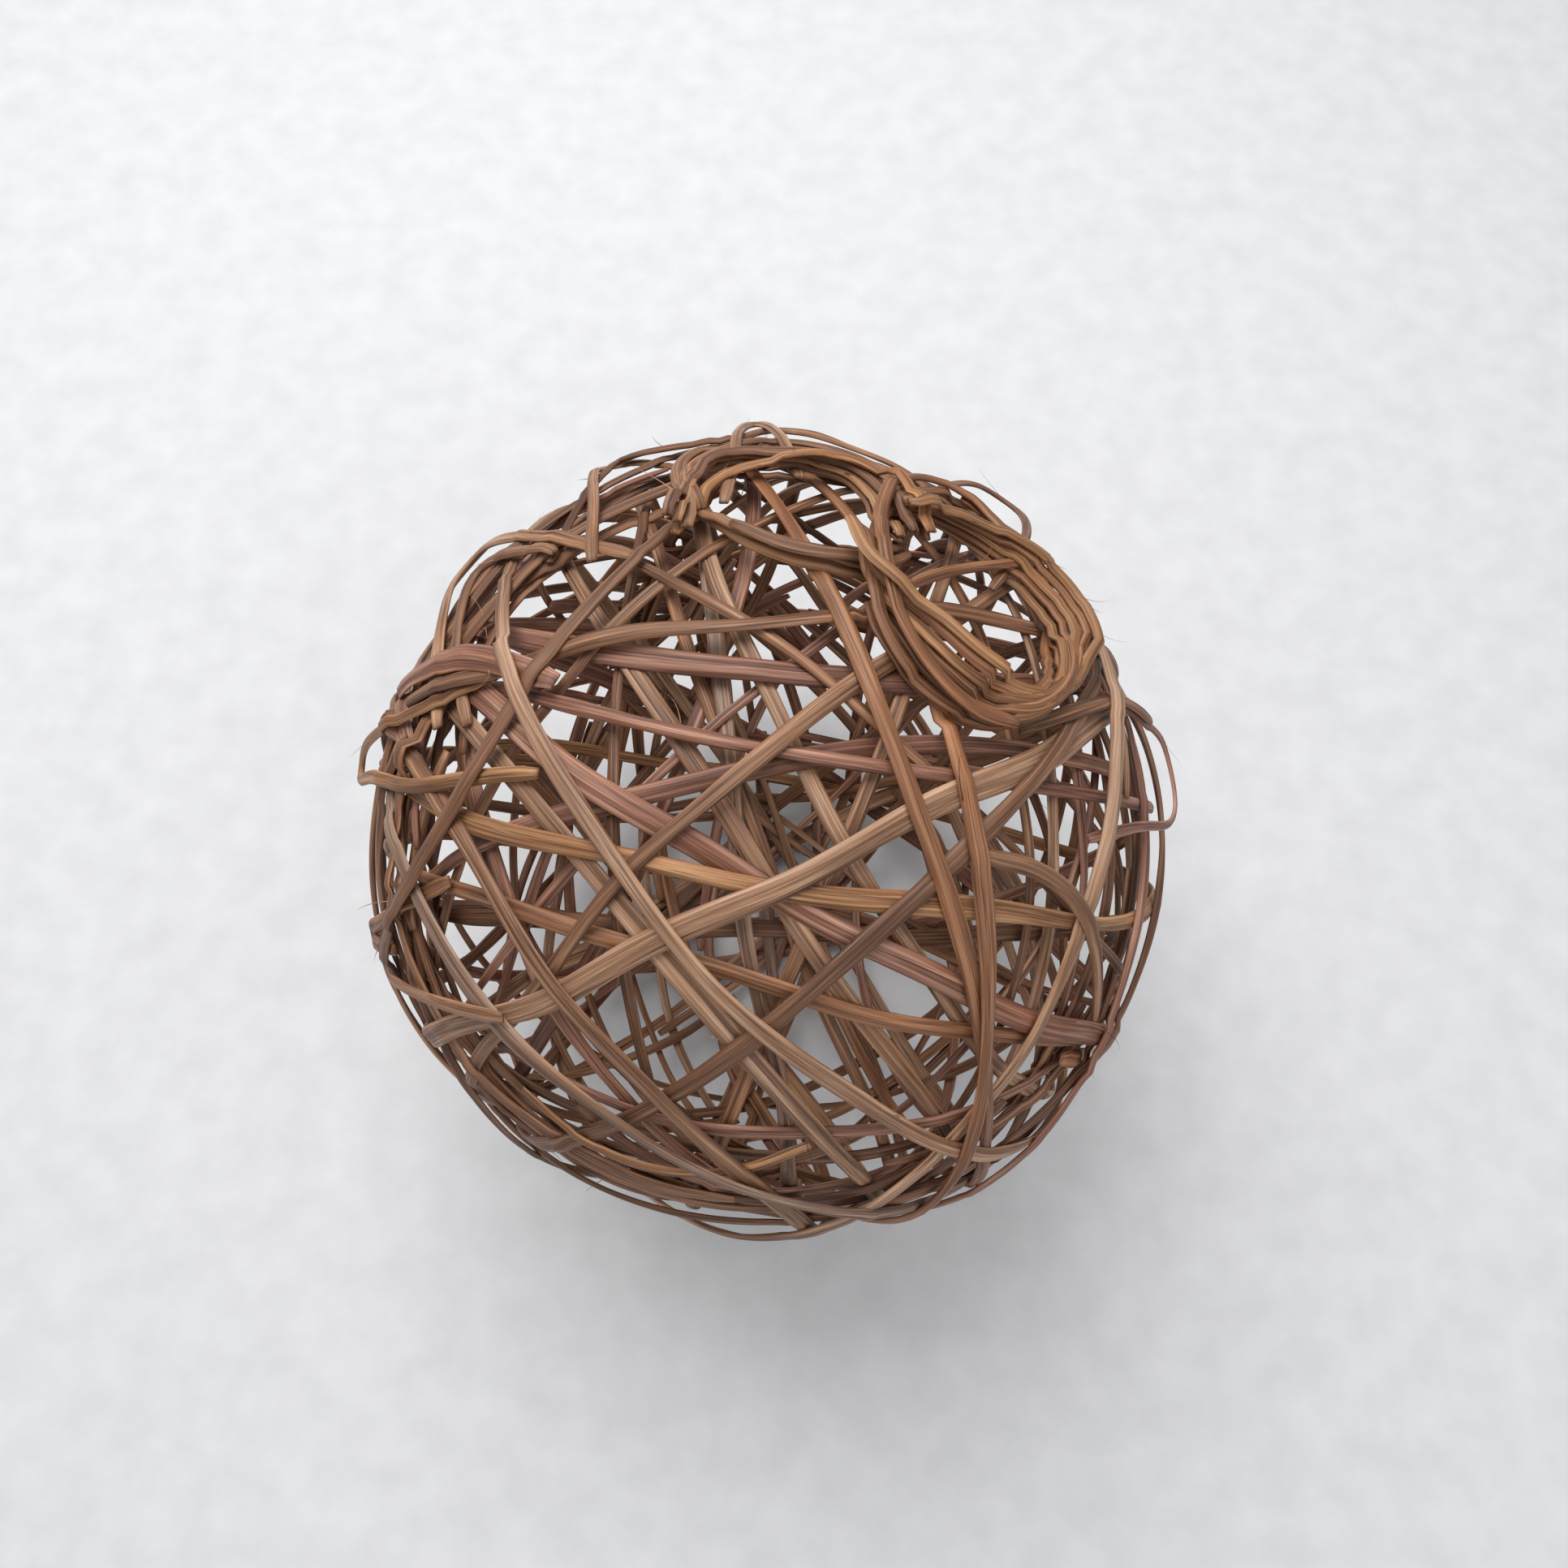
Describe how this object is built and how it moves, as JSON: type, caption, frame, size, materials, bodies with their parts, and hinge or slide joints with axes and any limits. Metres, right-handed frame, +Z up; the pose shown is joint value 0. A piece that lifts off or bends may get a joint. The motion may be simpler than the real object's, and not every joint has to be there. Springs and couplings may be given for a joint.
{
  "type": "decorative sphere",
  "caption": "Hollow decorative ball woven at random from flat split-vine strips, open inside, with a small flat spot underneath that keeps it from rolling.",
  "frame": {"origin": "the point under the centre of the ball that it rests on, in the middle of the flat spot", "axes": "+Z up through the centre of the ball as it lies; the most open, most carefully woven face leans 18 degrees from +Z towards -Y; +X is to the right of a viewer who looks along +Y"},
  "size_m": [0.2482, 0.2564, 0.2488],
  "materials": {
    "vine_rose": "dry split vine, rose tone, matt with lengthwise grain and fine torn fibres",
    "vine_golden": "dry split vine, golden tone, matt with lengthwise grain and fine torn fibres",
    "vine_orange": "dry split vine, orange tone, matt with lengthwise grain and fine torn fibres",
    "vine_tan": "dry split vine, tan tone, matt with lengthwise grain and fine torn fibres",
    "vine_light": "dry split vine, light tone, matt with lengthwise grain and fine torn fibres",
    "vine_grey": "dry split vine, grey tone, matt with lengthwise grain and fine torn fibres",
    "vine_brown": "dry split vine, brown tone, matt with lengthwise grain and fine torn fibres"
  },
  "bodies": {
    "root": {"hoop_01_rose": "vine_rose", "hoop_02_light": "vine_light", "hoop_03_golden": "vine_golden", "hoop_04_light": "vine_light", "hoop_05_light": "vine_light", "hoop_06_tan": "vine_tan", "hoop_07_brown": "vine_brown", "hoop_08_brown": "vine_brown", "hoop_09_rose": "vine_rose", "hoop_10_rose": "vine_rose", "hoop_11_rose": "vine_rose", "hoop_12_brown": "vine_brown", "hoop_13_brown": "vine_brown", "hoop_14_tan": "vine_tan", "hoop_15_orange": "vine_orange", "hoop_16_orange": "vine_orange", "hoop_17_light": "vine_light", "hoop_18_rose": "vine_rose", "hoop_19_light": "vine_light", "hoop_20_rose": "vine_rose", "hoop_21_tan": "vine_tan", "hoop_22_tan": "vine_tan", "hoop_23_tan": "vine_tan", "hoop_24_light": "vine_light", "hoop_25_rose": "vine_rose", "hoop_26_rose": "vine_rose", "hoop_27_orange": "vine_orange", "hoop_28_light": "vine_light", "hoop_29_grey": "vine_grey", "hoop_30_rose": "vine_rose", "hoop_31_brown": "vine_brown", "hoop_32_brown": "vine_brown", "hoop_33_brown": "vine_brown", "hoop_34_brown": "vine_brown", "hoop_35_rose": "vine_rose", "hoop_36_grey": "vine_grey", "hoop_37_tan": "vine_tan", "hoop_38_tan": "vine_tan", "hoop_39_brown": "vine_brown", "hoop_40_brown": "vine_brown", "hoop_41_brown": "vine_brown", "hoop_42_tan": "vine_tan", "hoop_43_rose": "vine_rose", "rim_hoop_44_tan": "vine_tan", "rim_hoop_45_brown": "vine_brown", "rim_hoop_46_brown": "vine_brown", "rim_hoop_47_brown": "vine_brown", "rim_hoop_48_brown": "vine_brown", "ring_strip_49_orange": "vine_orange", "ring_strip_50_orange": "vine_orange", "ring_strip_51_orange": "vine_orange", "ring_strip_52_tan": "vine_tan", "ring_strip_53_tan": "vine_tan", "ring_strip_54_tan": "vine_tan", "tail_55_orange": "vine_orange", "tail_56_tan": "vine_tan"}
  },
  "joints": []
}
